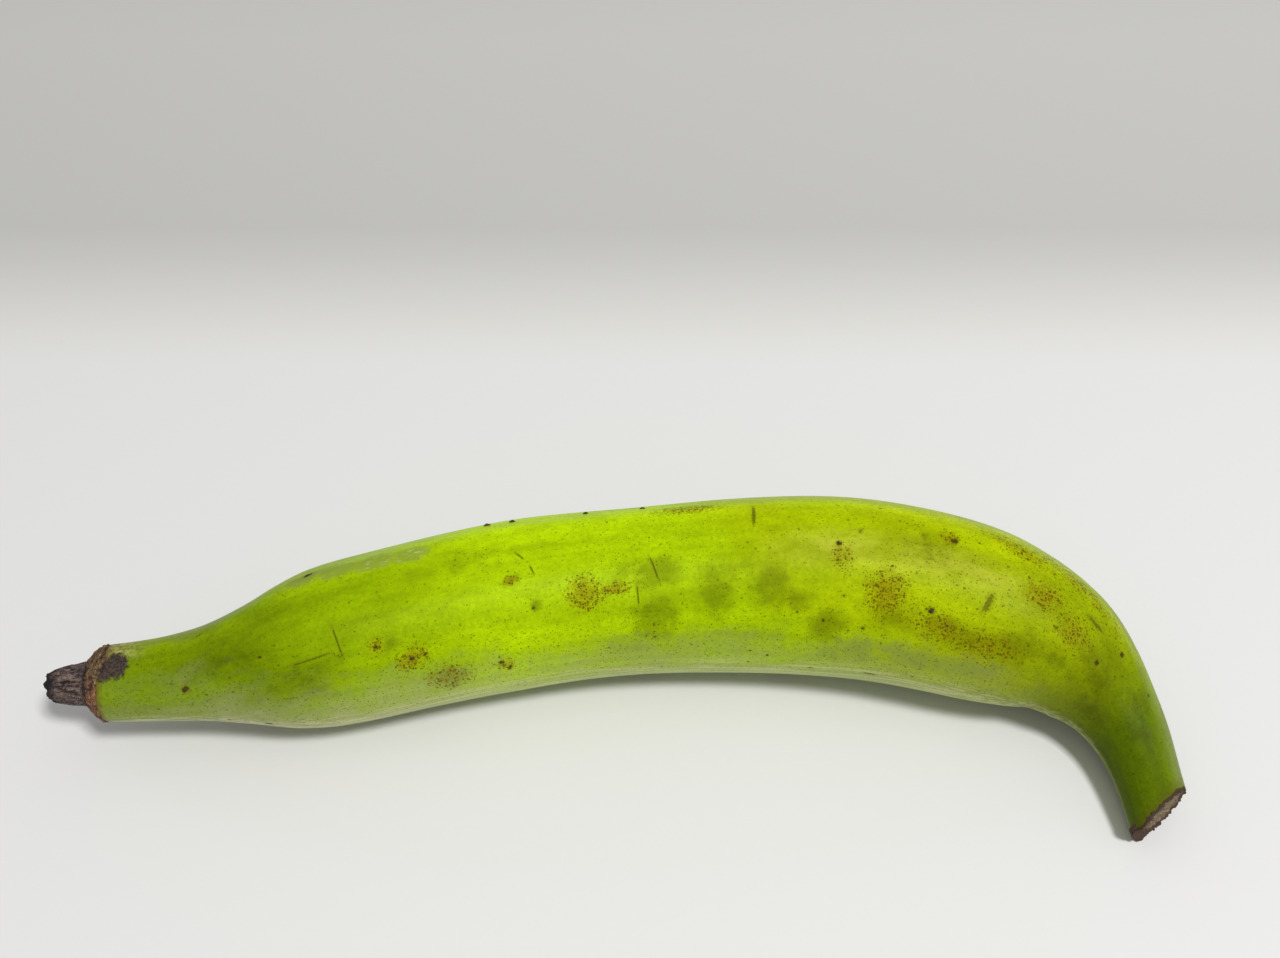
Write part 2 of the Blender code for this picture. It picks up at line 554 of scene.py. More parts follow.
class Network:
    """A material's nodes, added one after another."""

    def __init__(self, name):
        self.material = bpy.data.materials.new(name)
        self.material.use_nodes = True
        self.tree = self.material.node_tree

    def add(self, kind, inputs, **settings):
        """Adds a node, its inputs linked to sockets or set to values, and returns its outputs."""
        node = self.tree.nodes.new("ShaderNode" + kind)
        for key, value in settings.items():
            setattr(node, key, value)
        for key, value in inputs.items():
            self.feed(node.inputs[key], value)
        return node.outputs

    def feed(self, socket, value):
        """Links a socket to another one, or sets its value. A colour comes without its alpha."""
        if isinstance(value, bpy.types.NodeSocket):
            self.tree.links.new(value, socket)
        elif socket.type == "RGBA":
            socket.default_value = (*value, 1.0)
        else:
            socket.default_value = value

    def finished(self, inputs):
        """Feeds the shader's own sockets and returns the material."""
        for key, value in inputs.items():
            self.feed(self.tree.nodes["Principled BSDF"].inputs[key], value)
        return self.material

    def attribute(self, name):
        return self.add("Attribute", {}, attribute_name=name)["Vector"]

    def parts(self, vector):
        """A vector's three parts."""
        return self.add("SeparateXYZ", {0: vector})

    def math(self, operation, first, second=0.0, third=0.0):
        return self.add("Math", {0: first, 1: second, 2: third}, operation=operation)[0]

    def times(self, first, *others):
        """The product of two or more values."""
        for other in others:
            first = self.math("MULTIPLY", first, other)
        return first

    def plus(self, first, second):
        return self.math("ADD", first, second)

    def larger(self, first, second):
        return self.math("MAXIMUM", first, second)

    def scaled(self, value, factor, shift):
        """A value times a factor, plus a shift."""
        return self.math("MULTIPLY_ADD", value, factor, shift)

    def ragged(self, field, noise_value, amount):
        """A field with noise added, to break up its smooth edge."""
        return self.plus(field, self.scaled(noise_value, amount, -amount / 2))

    def between(self, value, low, high, to_low=0.0, to_high=1.0, smooth=True):
        """The value's place between two limits, from to_low to to_high."""
        inputs = {0: value, 1: low, 2: high, 3: to_low, 4: to_high}
        kind = "SMOOTHSTEP" if smooth else "LINEAR"
        return self.add("MapRange", inputs, interpolation_type=kind)[0]

    def window(self, value, opens, closes):
        """1 where a value is inside a window, whose two soft edges are pairs of limits."""
        return self.times(self.between(value, *opens), self.between(value, *closes))

    def stretch(self, coordinates, scale):
        """Coordinates scaled along each axis."""
        return self.add("Mapping", {"Vector": coordinates, "Scale": scale})[0]

    def noise(self, coordinates, size_mm, detail=2.0, roughness=0.5, along=1.0, across=1.0):
        """Noise from 0 to 1 with lumps of a size in mm, drawn out by scales along and across."""
        if (along, across) != (1.0, 1.0):
            coordinates = self.stretch(coordinates, (along, across, across))
        inputs = {"Vector": coordinates, "Scale": 1.0 / (size_mm * MM)}
        inputs.update({"Detail": detail, "Roughness": roughness})
        return self.add("TexNoise", inputs)["Fac"]

    def mix(self, share, first, second, blend="MIX"):
        """Two colours mixed by a share."""
        inputs = {0: share, 6: first, 7: second}
        return self.add("Mix", inputs, data_type="RGBA", blend_type=blend)[2]

    def over(self, colour, share, strength, tone, blend="MIX"):
        """Lays a tone over a colour, by a share times a strength."""
        return self.mix(self.times(share, strength), colour, tone, blend)

    def layered(self, colour, layers):
        """Lays tones over a colour, one after another, each where a value is between two limits.

        A layer is the value, its limits, the tone's strength, and the tone as a screen shows it.
        """
        for value, low, high, strength, tone in layers:
            share = self.between(value, low, high, 0.0, strength)
            colour = self.mix(share, colour, from_screen(*tone))
        return colour

    def ramp(self, value, stops):
        """A colour read from stops of (place, colour)."""
        ramp = self.add("ValToRGB", {0: value})[0]
        elements = ramp.node.color_ramp.elements
        for element, (place, colour) in ((elements[0], stops[0]), (elements[-1], stops[-1])):
            element.position, element.color = place, (*colour, 1.0)
        for place, colour in stops[1:-1]:
            elements.new(place).color = (*colour, 1.0)
        return ramp

    def grey(self, value):
        return self.add("CombineXYZ", {0: value, 1: value, 2: value})[0]

    def facing(self, straight, degrees):
        """How near points are to an angle round the fruit: 1 at it, 0 a quarter turn away."""
        across = self.stretch(straight, (0.0, 1.0, 1.0))
        outward = self.add("VectorMath", {0: across}, operation="NORMALIZE")[0]
        turn = math.radians(degrees)
        inputs = {0: outward, 1: (0.0, math.cos(turn), math.sin(turn))}
        return self.add("VectorMath", inputs, operation="DOT_PRODUCT")["Value"]

    def small_marks(self, attribute, noise_value, amount):
        """How much of a small mark is at a point: 1 in its middle, 0 at its edge, less outside."""
        local = self.attribute(attribute)
        flat = self.stretch(local, (1.0, 1.0, 0.0))
        far = self.add("VectorMath", {0: flat}, operation="LENGTH")["Value"]
        inside = self.ragged(self.math("SUBTRACT", 1.0, far), noise_value, amount)
        hidden = self.times(self.math("SUBTRACT", 1.0, self.parts(local)[2]), -2.0)
        return self.plus(inside, hidden)

    def specks(self, coordinates, spacing_mm, largest_mm, rarity, crowd):
        """Small round specks, at most one in each cell. Large ones are rare; crowd is how many."""
        cells = self.add("TexVoronoi", {"Vector": coordinates, "Scale": 1.0 / (spacing_mm * MM)})
        chances = self.add("SeparateColor", {0: cells["Color"]})
        radius = self.times(self.math("POWER", chances[0], rarity), largest_mm / spacing_mm)
        edge = self.between(cells["Distance"], self.times(radius, 0.5), radius, 1.0, 0.0)
        return self.times(edge, self.math("LESS_THAN", chances[1], crowd))

    def bump(self, height, distance_mm, normal=None):
        """A normal bent by a height, over the piece's own normal or another bump."""
        inputs = {"Height": height, "Distance": distance_mm * MM, "Strength": 1.0}
        if normal is not None:
            inputs["Normal"] = normal
        return self.add("Bump", inputs)[0]


# What a user can change.

def colour_setting(name, description, default):
    return FloatVectorProperty(
        name=name, description=description, default=default,
        subtype="COLOR", size=3, min=0.0, max=1.0,
    )


def share_setting(name, description, default, most=1.0):
    return FloatProperty(
        name=name, description=description, default=default,
        subtype="FACTOR", min=0.0, max=most,
    )


def length_setting(name, description, default_mm, least_mm, most_mm):
    return FloatProperty(
        name=name, description=description, default=default_mm * MM,
        subtype="DISTANCE", unit="LENGTH", min=least_mm * MM, max=most_mm * MM, precision=5,
    )


def angle_setting(name, description, default, least, most):
    return FloatProperty(
        name=name, description=description, default=math.radians(default),
        subtype="ANGLE", unit="ROTATION", min=math.radians(least), max=math.radians(most),
    )


class PeelSettings(bpy.types.PropertyGroup):
    """The colours and surface of the peel."""

    bright: colour_setting("Bright green", "The peel over the belly", from_screen(175, 208, 0))
    deep: colour_setting("Deep green", "The peel towards both ends", from_screen(126, 152, 0))
    stalk: colour_setting("Stalk green", "The dark green of the stalk", from_screen(91, 120, 2))
    bruise: colour_setting("Bruise", "What a bruise lets through of the green", (0.62, 0.60, 0.55))
    rust: colour_setting("Rust", "The golden brown patches", from_screen(144, 134, 2))
    dot: colour_setting("Dots", "The dark dots", from_screen(62, 50, 16))
    unevenness: length_setting("Unevenness", "Height of the broad lumps", 0.30, 0.0, 1.0)
    roughness: share_setting("Roughness", "How dull the wax is", 0.42)
    ripeness: share_setting("Ripeness", "How yellow the upper right of the peel is", 0.60)
    # Painted shade: how far the green is darkened lower down.
    low_shade: share_setting("Low shade", "How bright the lower green is, next to the top", 0.76)
    # The pale lower part is partly real waxy bloom and partly a painted reflection of the pale
    # floor.
    bloom_and_reflection: share_setting("Bloom", "How pale the lower part of the peel is", 0.36)
    gloss: share_setting("Gloss", "How strongly the wax mirrors, seen square on", 0.05)
    edge_gloss: share_setting("Edge gloss", "How strongly the wax mirrors, seen aslant", 0.30)


class TipSettings(bpy.types.PropertyGroup):
    """The dried flower tip."""

    wood: colour_setting("Dry brown", "The dried flower stub", from_screen(115, 97, 88))
    char: colour_setting("Black", "The ragged end of the stub", from_screen(30, 26, 28))
    ring: colour_setting("Ring", "The orange brown crust round the stub", from_screen(148, 101, 68))
    fold_depth: length_setting("Fold depth", "Depth of the folds in the stub", 0.55, 0.0, 1.5)


class CutSettings(bpy.types.PropertyGroup):
    """The cut end of the stalk."""

    pith: colour_setting("Pith", "The dried middle of the cut", from_screen(134, 120, 94))
    rim: colour_setting("Rim", "The dark torn edge of the cut", from_screen(76, 58, 46))
    tear: length_setting("Tear", "How far the torn fibres stand out", 0.70, 0.0, 2.0)


class StageSettings(bpy.types.PropertyGroup):
    """The pale floor, the lights and the camera."""

    floor: colour_setting("Floor", "The pale floor", (0.80, 0.795, 0.785))
    # Painted shade: the far floor is darker, standing in for a shaded backdrop.
    far_floor_shade: colour_setting("Far floor", "The floor further back", (0.64, 0.634, 0.608))
    light_power: FloatProperty(
        name="Light", description="Power of the large soft light", default=29.0,
        subtype="POWER", unit="POWER", min=0.0, max=200.0,
    )
    fill: share_setting("Fill", "Strength of the light from all round", 0.41, most=4.0)
    camera_height: length_setting(
        "Camera height", "Height of the camera over the floor", 303.3, 50.0, 2000.0
    )
    camera_distance: length_setting(
        "Camera distance", "How far in front of the fruit the camera is", 219.1, 50.0, 2000.0
    )
    camera_pitch: angle_setting("Camera pitch", "How far down the camera looks", 45.0, 0.0, 90.0)
    camera_view: angle_setting("Camera view", "Width of the camera's view", 50.0, 5.0, 120.0)


# The peel.

PEEL_START = 13.0
PEEL_ROWS = 460
PEEL_COLUMNS = 204
# Share of the peel's rows, and how far along the fruit they have come, in mm.
PEEL_SPREAD = ((0.0, PEEL_START), (0.11, 30.0), (0.90, 296.0), (1.0, LENGTH))
# The peel's last rows turn in behind the cut: how far back and how far inwards each one is, in mm.
TURNED_BACK = (0.0, 0.0, 2.2, 2.6)
TURNED_IN = (0.0, 0.25, 0.35, 4.0)
# How high what is hidden inside the stalk stays over the floor, in mm.
HIDDEN_LIFT = 0.3
SEAM_DEGREES = -90.0
# How far along the crust round the flower tip reaches, and how much further on top, in mm.
CRUST_END = 15.3
CRUST_TOP_REACH = 2.2
# The peel dips under the crust over this length, to this depth, in mm.
CRUST_OVERLAP = 0.2
TUCK_LENGTH = 1.2
TUCK_DEPTH = 0.9
# How far along the neck starts, in mm, and over what length its folds come in.
NECK_START = 262.0
NECK_BLEND = 30.0
# Over these lengths behind the flower tip the ribs and the fine ribs of the peel die out, in mm.
RIBS_REACH = 16.0
FINE_RIBS_REACH = 60.0
# How sharply a dent or swelling falls off from its middle.
RELIEF_FALL = 2.2


def crust_end(angle):
    """How far along the crust round the flower tip reaches at each angle, in mm."""
    on_top = bell(degrees_between(angle, 100.0), 0.0, 42.0)
    ragged = 0.5 * lumps(circle(angle) * 2.5, 1.0, 13) + 0.3 * lumps(circle(angle) * 9.0, 1.0, 14)
    return CRUST_END + CRUST_TOP_REACH * on_top + ragged


def peel_relief(at, angle, straight, unevenness):
    """The fine shape of the peel over its plain form, in mm."""
    height = lumps(straight * np.array([0.6, 1.0, 1.0]), 17.0, 1) * unevenness
    height += lumps(straight * np.array([0.35, 1.0, 1.0]), 5.0, 2) * 0.06
    from_tip = np.maximum(at - PEEL_START, 0.0)
    ribs = strands(at, angle, 0.02, 3.2)
    height += lumps(ribs, 1.0, 3) * 0.38 * np.exp(-from_tip / RIBS_REACH)
    height += lumps(ribs, 0.45, 4) * 0.05 * np.exp(-from_tip / FINE_RIBS_REACH)
    neck = np.clip((at - NECK_START) / NECK_BLEND, 0.0, 1.0)
    height += lumps(ribs, 1.6, 5) * 0.16 * neck
    for mark in RELIEF:
        height += mark[5] * np.exp(-RELIEF_FALL * mark_distance(at, angle, mark) ** 2)
    return height


def place_peel(share_along, share_round, unevenness):
    """The peel's corners: their places, and what the looks read at each one."""
    angle = math.tau * share_round + math.radians(SEAM_DEGREES)
    inner_rows = len(TURNED_IN) - 1
    row = np.rint(share_along * PEEL_ROWS).astype(int)
    turned = np.clip(row - (PEEL_ROWS - inner_rows), 0, inner_rows)
    share = np.minimum(row / (PEEL_ROWS - inner_rows), 1.0)
    even = np.interp(share, *zip(*PEEL_SPREAD))
    end = cut_distance(angle) + torn_edge(angle)
    slant = np.clip((even - NECK_START) / (LENGTH - NECK_START), 0.0, 1.0)
    at = even + (end - LENGTH) * slant
    radius = plain_radius(at, angle)
    straight = straightened(at, angle, radius)
    tucked = np.clip((crust_end(angle) + CRUST_OVERLAP - at) / TUCK_LENGTH, 0.0, 1.0)
    relief = peel_relief(at, angle, straight, unevenness) * (1 - tucked) - TUCK_DEPTH * tucked

    def signs(*lists):
        return np.stack([mark_strength(at, angle, marks) for marks in lists], axis=-1)

    vectors = {
        STRAIGHT: straight * MM,
        STAINS: signs(
            BRUISES + far_side_marks(FAR_STAINS, 1),
            GREY_BRUISES + far_side_marks(FAR_STAINS, 2),
            RUST_PATCHES + far_side_marks(FAR_RUST, 3),
        ),
        WEAR: signs(SCUFFS, TIP_SCAB, PALE_PLACES_AND_PAINTED_LIGHT),
        ENDS: np.stack([at - crust_end(angle), end - at, np.zeros_like(at)], axis=-1) * MM,
        DOTS: small_mark_places(at, angle, DARK_DOTS + far_side_marks(FAR_DOTS, 4)),
        SCRATCH: small_mark_places(at, angle, SCRATCHES + far_side_marks(FAR_SCRATCHES, 5)),
    }
    back, inwards = np.array(TURNED_BACK)[turned], np.array(TURNED_IN)[turned]
    places = on_fruit(at - back, angle, radius + relief - inwards)
    places[:, 2] = np.where(turned > 0, np.maximum(places[:, 2], HIDDEN_LIFT), places[:, 2])
    return places, vectors


def torn_edge(angle):
    """How much longer or shorter the peel is than a clean cut, in mm, at angles round the stalk."""
    return lumps(circle(angle) * 3.0, 0.9, 6) * 0.35 + lumps(circle(angle) * 3.0, 0.3, 7) * 0.18


# The noises in the peel's looks: lump size in mm, detail, roughness, and the scale along the fruit,
# where less than 1 draws the lumps out lengthwise.
PEEL_NOISES = {
    "clouds": (11.0, 3.0, 0.5, 0.32),
    "hue": (22.0, 1.0, 0.5, 1.0),
    "fibres": (1.3, 3.0, 0.6, 0.035),
    "stripes": (4.5, 3.0, 0.6, 0.03),
    "blots": (4.5, 3.0, 0.55, 0.55),
    "grains": (1.1, 3.0, 0.6, 1.0),
    "pores": (0.42, 2.0, 0.5, 1.0),
    "fine_lines": (0.8, 2.0, 0.5, 0.02),
    "loose": (3.2, 4.0, 0.6, 1.0),
    "rust_grain": (1.3, 4.0, 0.7, 1.0),
    "fleck_grain": (0.9, 3.0, 0.7, 0.4),
    "frayed": (0.5, 3.0, 0.6, 1.0),
    "scab_grain": (0.55, 4.0, 0.75, 1.0),
}
# Between these limits lie nearly all values of a noise.
MOST_NOISE = (0.3, 0.7)
# Painted shade: the bright green is darkened to these shares over the middle and over the belly.
MIDDLE_SHADE = 0.90
BELLY_SHADE = 0.81
RIPE_SHIFT = (1.10, 0.86, 1.0)
# Specks: spacing and largest radius in mm, how rare large ones are, share of the crowd, scale along
# the fruit, strength, and colour as a screen shows it.
SPECKS = (
    (0.66, 0.31, 0.8, 1.0, 1.0, 0.56, (76, 82, 2)),
    (1.7, 0.42, 1.0, 0.80, 0.85, 0.56, (70, 70, 4)),
    (4.8, 0.66, 1.4, 0.70, 1.0, 0.80, (70, 62, 8)),
)


class PeelNetwork(Network):
    """The peel's nodes, with the places and the noises that all its layers read."""

    def __init__(self, name):
        super().__init__(name)
        self.straight = self.attribute(STRAIGHT)
        self.along, self.side, self.high = self.parts(self.straight)
        self.round_way = self.math("ARCTAN2", self.high, self.side)
        for key, kind in PEEL_NOISES.items():
            setattr(self, key, self.noise(self.straight, *kind))


def pigment(net, look):
    """Green, deeper towards the ends and yellower at the upper right, with clouds and fibres,
    darker over the middle and belly as painted shade and brighter at the upper back as painted
    light.
    """
    middle = tuple(MIDDLE_SHADE * part for part in look.bright)
    belly = tuple(BELLY_SHADE * part for part in look.bright)
    stops = (
        (0.06, look.deep),
        (0.17, look.deep),
        (0.36, look.bright),
        (0.50, middle),
        (0.77, belly),
        (0.865, look.deep),
        (0.925, look.stalk),
        (1.0, look.stalk),
    )
    share = net.math("DIVIDE", net.along, LENGTH * MM)
    green = net.ramp(net.ragged(share, net.clouds, 0.05), stops)
    ripe = net.scaled(net.hue, 0.05, net.scaled(net.high, 2.0, net.along))
    green = net.over(green, net.between(ripe, 0.215, 0.290), look.ripeness, RIPE_SHIFT, "MULTIPLY")

    value = net.between(net.clouds, *MOST_NOISE, 0.88, 1.06)
    near_ends = net.plus(net.between(net.along, 0.090, 0.020), net.between(net.along, 0.262, 0.292))
    streaks = net.between(net.fibres, *MOST_NOISE, -0.07, 0.06)
    streaks = net.times(streaks, net.scaled(near_ends, 0.45, 0.45))
    value = net.times(value, net.plus(streaks, 1.0))
    for noise_value, darkest, brightest in (
        (net.stripes, 0.93, 1.06),
        (net.blots, 0.90, 1.06),
        (net.grains, 0.90, 1.08),
        (net.pores, 0.93, 1.06),
    ):
        value = net.times(value, net.between(noise_value, *MOST_NOISE, darkest, brightest))
    # Painted light: the green is brightened towards the upper back, where the light falls from
    # above.
    painted_top_light = net.between(net.facing(net.straight, 150), 0.44, 0.84, 1.0, 1.38)
    return net.mix(1.0, green, net.grey(net.times(value, painted_top_light)), "MULTIPLY")


def low_side(net, look, green):
    """Painted shade deepening the green lower down and on the underside, a greyish paleness low on
    the fruit that is partly the peel's real whitish wax and partly a painted reflection of the
    floor, and fine pale lines along the lowest ridge.
    """
    # Painted shade: the green is darker lower down.
    sunk = net.between(net.scaled(net.clouds, 0.008, net.high), 0.022, 0.004)
    green = net.mix(sunk, green, (look.low_shade,) * 3, "MULTIPLY")

    # Partly real waxy bloom, partly a painted reflection of the pale floor: the lower part is paler
    # and greyer.
    blotchy = net.scaled(net.clouds, 0.012, net.scaled(net.blots, 0.014, -0.007))
    rise = net.between(net.along, 0.150, 0.065, 0.0045, 0.0055)
    height = net.math("SUBTRACT", net.plus(net.high, blotchy), rise)
    bloom_and_reflection = net.times(
        net.between(height, 0.0115, -0.0080),
        net.between(net.along, 0.285, 0.235, 0.10, 1.0),
        net.between(net.along, 0.022, 0.055, 0.55, 1.0),
    )
    pallor = net.times(net.between(net.along, 0.120, 0.070, 0.64, 1.05), look.bloom_and_reflection)
    green = net.over(green, bloom_and_reflection, pallor, (0.75, 0.71, 0.42))

    on_ridge = net.window(net.round_way, (-0.60, -0.48), (0.05, -0.25))
    pale_lines = net.times(net.between(net.fine_lines, 0.44, 0.60), on_ridge)
    green = net.over(green, pale_lines, 0.42, (0.80, 0.78, 0.42))
    # Painted shade: the underside, which faces the floor, is darker.
    under = net.between(net.facing(net.straight, 270), 0.50, 0.59)
    return net.mix(under, green, (0.74, 0.76, 0.62), "MULTIPLY"), bloom_and_reflection


def painted_ridge_and_stalk_light(net, green):
    """Painted highlights: a paler crest on the upper ridge, a paler sheen on the stalk's outer side
    and a thin pale reflection along its inner edge.
    """
    # Painted highlight: a paler streak along the crest of the upper ridge.
    crest_highlight = net.times(
        net.window(net.round_way, (0.95, 1.25), (1.60, 1.30)),
        net.between(net.along, 0.180, 0.205),
        net.between(net.along, 0.262, 0.240),
    )
    crest_highlight_strength = net.between(net.blots, *MOST_NOISE, 0.08, 0.34)
    green = net.over(green, crest_highlight, crest_highlight_strength, (0.62, 0.60, 0.09))
    neck = net.between(net.along, 0.262, 0.288)
    # Painted sheen: the stalk's outer side is paler and greyer.
    outer = net.times(net.between(net.facing(net.straight, 170), 0.34, 0.91), neck)
    green = net.over(green, outer, 0.14, (0.62, 0.64, 0.30))
    # Painted reflection: a thin pale line along the stalk's inner edge.
    inner = net.times(net.between(net.facing(net.straight, 328), 0.965, 0.995), neck)
    return net.over(green, inner, 0.45, (0.62, 0.68, 0.22))


def stained(net, look, green):
    """Soft olive bruises with a grainy edge, and golden rust with clusters of small brown dots."""
    bruise, grey, rust = net.parts(net.attribute(STAINS))
    edge_noise = net.scaled(net.plus(net.loose, net.grains), 0.5, 0.0)
    bruised = net.between(net.ragged(bruise, edge_noise, 2.8), -0.28, 0.66)
    colour = net.mix(bruised, green, look.bruise, "MULTIPLY")
    greyed = net.between(net.ragged(grey, edge_noise, 2.8), -0.28, 0.70)
    colour = net.over(colour, greyed, 0.55, (0.20, 0.235, 0.055))

    rusty = net.between(net.ragged(rust, net.rust_grain, 2.6), -0.20, 0.75)
    colour = net.over(colour, rusty, 0.74, look.rust)
    pox = net.specks(net.straight, 0.68, 0.50, 0.8, net.between(rust, -0.20, 0.36))
    colour = net.over(colour, pox, 0.82, from_screen(92, 72, 2))
    fine_pox = net.specks(net.straight, 0.55, 0.34, 0.9, net.between(rust, -0.4, 0.3))
    colour = net.over(colour, fine_pox, 0.65, from_screen(88, 78, 2))
    return colour, net.larger(bruised, rusty)


def specked(net, colour):
    """Specks all over, denser low on the fruit and near the shoulder."""
    band = net.window(net.high, (0.019, 0.009), (-0.014, -0.004))
    shoulder = net.window(net.along, (0.195, 0.240), (0.300, 0.270))
    patchy = net.between(net.clouds, 0.42, 0.62, -0.10, 0.30)
    crowd = net.plus(net.scaled(net.larger(band, shoulder), 0.66, 0.27), patchy)
    for spacing, largest, rarity, share, along, strength, tone in SPECKS:
        places = net.stretch(net.straight, (along, 1.0, 1.0))
        specks = net.specks(places, spacing, largest, rarity, net.times(crowd, share))
        colour = net.over(colour, specks, strength, from_screen(*tone))
    return colour


def worn(net, colour):
    """The worn, pale strip along the upper ridge with its whitish flecks, and paler, duller places,
    among them a painted sheen on the stalk's outer side and a painted reflection along its inner
    edge.
    """
    wear, _, bleached_and_painted_light = net.parts(net.attribute(WEAR))
    rubbed = net.between(net.ragged(wear, net.loose, 0.9), 0.0, 0.5)
    colour = net.over(colour, rubbed, 0.72, from_screen(142, 158, 56))
    # Paler places, with a painted sheen on the stalk's outer side and a painted reflection along
    # its inner edge.
    faded_and_painted_light = net.between(net.ragged(bleached_and_painted_light, net.loose, 1.2), 0.0, 0.6)
    colour = net.over(colour, faded_and_painted_light, 0.55, from_screen(130, 142, 54))
    flecks = net.times(
        net.between(net.fleck_grain, 0.52, 0.64),
        net.between(wear, 0.15, 0.5),
        net.between(net.along, 0.080, 0.094, 0.25, 1.0),
    )
    return net.over(colour, flecks, 0.7, from_screen(196, 204, 138)), rubbed, flecks


def dotted(net, look, colour):
    """Dark dots in a brownish ring, and scratches."""
    dots = net.small_marks(DOTS, net.frayed, 1.6)
    colour = net.over(colour, net.between(dots, -1.1, 0.2), 0.5, from_screen(110, 104, 12))
    dark = net.between(dots, -0.05, 0.45)
    colour = net.over(colour, dark, 0.88, look.dot)
    scratches = net.small_marks(SCRATCH, net.frayed, 2.0)
    colour = net.layered(colour, ((scratches, -1.6, 0.0, 0.3, (116, 122, 8)),))
    scratched = net.between(scratches, -0.25, 0.45)
    return net.over(colour, scratched, 0.66, from_screen(78, 70, 8)), dark, scratched


def dried_ends(net, colour):
    """Tanned peel, paler on top partly as a painted highlight, and a dry scab beside the flower
    tip, and the brown edge at the cut.
    """
    past_crust, before_cut, _ = net.parts(net.attribute(ENDS))
    from_crust = net.ragged(past_crust, net.rust_grain, 0.0040)
    on_top = net.between(net.facing(net.straight, 130), 0.60, 0.83)
    # Tan on top beside the crust, its paler tone partly a painted highlight.
    tan_and_highlight = net.times(net.between(from_crust, 0.0120, 0.0010), on_top)
    tan_colours = from_screen(128, 114, 60), from_screen(178, 174, 104)
    tan_colour = net.mix(net.between(net.grains, 0.40, 0.58), *tan_colours)
    colour = net.over(colour, tan_and_highlight, 0.80, tan_colour)
    browned = net.between(from_crust, 0.0019, 0.0003)
    colour = net.over(colour, browned, 0.70, from_screen(112, 88, 46))

    scab_field = net.parts(net.attribute(WEAR))[1]
    scab = net.between(net.ragged(scab_field, net.rust_grain, 1.1), -0.02, 0.34)
    scab_colours = from_screen(50, 40, 38), from_screen(88, 76, 68)
    colour = net.mix(scab, colour, net.mix(net.between(net.scab_grain, 0.38, 0.62), *scab_colours))

    from_cut = net.ragged(before_cut, net.rust_grain, -0.0012)
    tinted = net.between(from_cut, 0.0042, 0.0010)
    colour = net.over(colour, tinted, 0.35, from_screen(96, 88, 24))
    dried = net.between(from_cut, 0.0008, 0.0003)
    return net.over(colour, dried, 0.9, from_screen(70, 54, 42)), scab, dried


def peel_material(look):
    """Waxy green peel with streaks, specks, bruises, rusty patches, scuffs and scratches."""
    net = PeelNetwork("waxy_green_peel")
    green, bloom_and_reflection = low_side(net, look, pigment(net, look))
    colour, stains = stained(net, look, painted_ridge_and_stalk_light(net, green))
    colour, rubbed, flecks = worn(net, specked(net, colour))
    colour, dark, scratched = dotted(net, look, colour)
    colour, scab, dried = dried_ends(net, colour)

    dull = net.larger(net.larger(scab, dried), net.larger(flecks, dark))
    roughness = net.between(
        net.clouds, *MOST_NOISE, look.roughness - 0.05, look.roughness + 0.05
    )
    roughness = net.scaled(net.larger(stains, rubbed), 0.10, roughness)
    roughness = net.scaled(dull, 0.35, roughness)
    facing = net.add("LayerWeight", {"Blend": 0.5})["Facing"]
    slanting = net.times(net.between(facing, 0.45, 0.95), net.scaled(bloom_and_reflection, 0.8, 0.2))
    mirror = net.between(slanting, 0.0, 1.0, look.gloss, look.edge_gloss, smooth=False)

    height = net.scaled(net.grains, 0.8, net.scaled(net.fibres, 0.9, net.pores))
    crust = net.scaled(scab, 1.4, net.times(scab, net.scab_grain, 2.0))
    crust = net.scaled(dark, 0.8, net.scaled(scratched, -1.0, crust))
    return net.finished({
        "Base Color": colour,
        "Roughness": roughness,
        "Specular IOR Level": mirror,
        "IOR": 1.45,
        "Normal": net.bump(crust, 0.12, net.bump(height, 0.035)),
    })


class PLANTAIN_OT_peel(bpy.types.Operator):
    """Build the ridged body, neck and stalk with their waxy green peel"""

    bl_idname = "plantain.peel"
    bl_label = "Build the peel"

    def execute(self, context):
        look = context.scene.plantain_peel
        shape = rolled_sheet(PEEL_ROWS, PEEL_COLUMNS, place_peel, look.unevenness)
        finish_piece(shape, "peel", peel_material(look))
        return {"FINISHED"}


# The dried flower tip.

TIP_ROWS = 190
TIP_COLUMNS = 300
# Share of the tip's rows that close its ragged end.
TIP_END_SHARE = 0.14
# How far in the middle of the ragged end lies, and how far its edge stands back at most, in mm.
TIP_HOLLOW = 1.6
TIP_BITE = 2.2
STUB_END = 10.8
# How far the stub turns round on its way, in radians for each mm.
STUB_TWIST = 0.035
# The two rolls of the crust: mm along, half width and height in mm.
CRUST_ROLLS = ((12.9, 0.9, 0.55), (15.2, 1.1, 0.60))
# The slit in the side of the stub: laid out like the marks of the peel.
TIP_SLIT = (6.4, 64.0, 1.5, 0.40, 8.0, 1.0)


